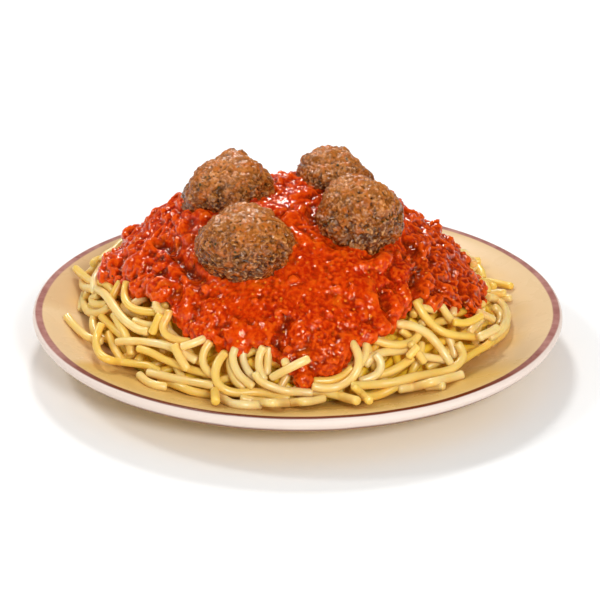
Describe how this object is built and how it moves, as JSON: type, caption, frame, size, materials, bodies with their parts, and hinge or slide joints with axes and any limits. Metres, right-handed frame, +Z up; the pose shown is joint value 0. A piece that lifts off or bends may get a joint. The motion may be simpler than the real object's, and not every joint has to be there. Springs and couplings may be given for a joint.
{
  "type": "spaghetti with meatballs on a plate",
  "caption": "Heap of cooked spaghetti under chunky tomato sauce with meatballs on top, served on a round cream plate with a thin coloured band.",
  "frame": {"origin": "on the table, under the middle of the plate", "axes": "+Z up out of the table; -Y is the front, the side with the low tongue of sauce; +X to the right seen from the front"},
  "size_m": [0.2396, 0.2396, 0.0894],
  "materials": {
    "plate_glaze": "glossy speckled cream glaze with a mauve band inside the lip",
    "pasta": "moist, smooth, pale yellow cooked pasta",
    "tomato_sauce": "wet, chunky orange-red tomato sauce",
    "meat": "browned, crumbly minced meat with a light sheen of fat"
  },
  "bodies": {
    "root": {"plate": "plate_glaze", "spaghetti": "pasta", "sauce": "tomato_sauce", "meatball_front_left": "meat", "meatball_back_left": "meat", "meatball_front_right": "meat", "meatball_back_right": "meat"}
  },
  "joints": []
}
